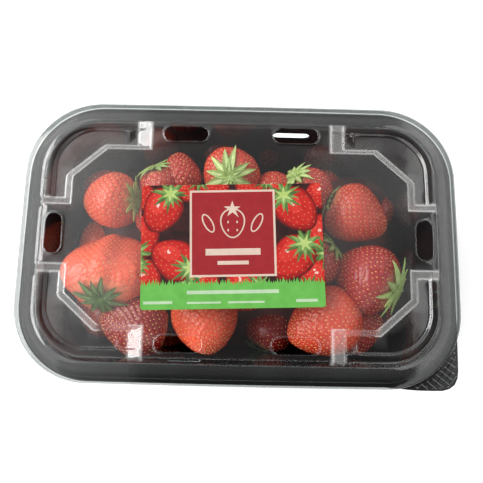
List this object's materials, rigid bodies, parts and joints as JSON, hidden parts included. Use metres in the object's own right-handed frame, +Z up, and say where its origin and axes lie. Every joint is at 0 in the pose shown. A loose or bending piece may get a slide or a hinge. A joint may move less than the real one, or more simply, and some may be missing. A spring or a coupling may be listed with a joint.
{
  "type": "punnet of strawberries",
  "caption": "Punnet of strawberries: a black thermoformed tray with a corner grip tab, a shut clear lid with vent slots, a top label, and the heap of fruit inside.",
  "frame": {"origin": "centre of the bounding box, on the plane the tray stands on", "axes": "+X along the long side, +Y to the back, away from the label's lower edge, +Z up through the lid; the grip tab is at the +X, -Y corner"},
  "size_m": [0.19, 0.124, 0.0719],
  "materials": {
    "black_plastic": "glossy black thermoformed sheet",
    "clear_plastic": "clear, thin, glossy thermoformed sheet",
    "label_paper": "printed gloss paper",
    "strawberry": "satin red fruit skin with fine yellow seeds and green leaves"
  },
  "bodies": {
    "root": {"tray": "black_plastic", "lid": "clear_plastic", "label": "label_paper", "berries": "strawberry"}
  },
  "joints": []
}
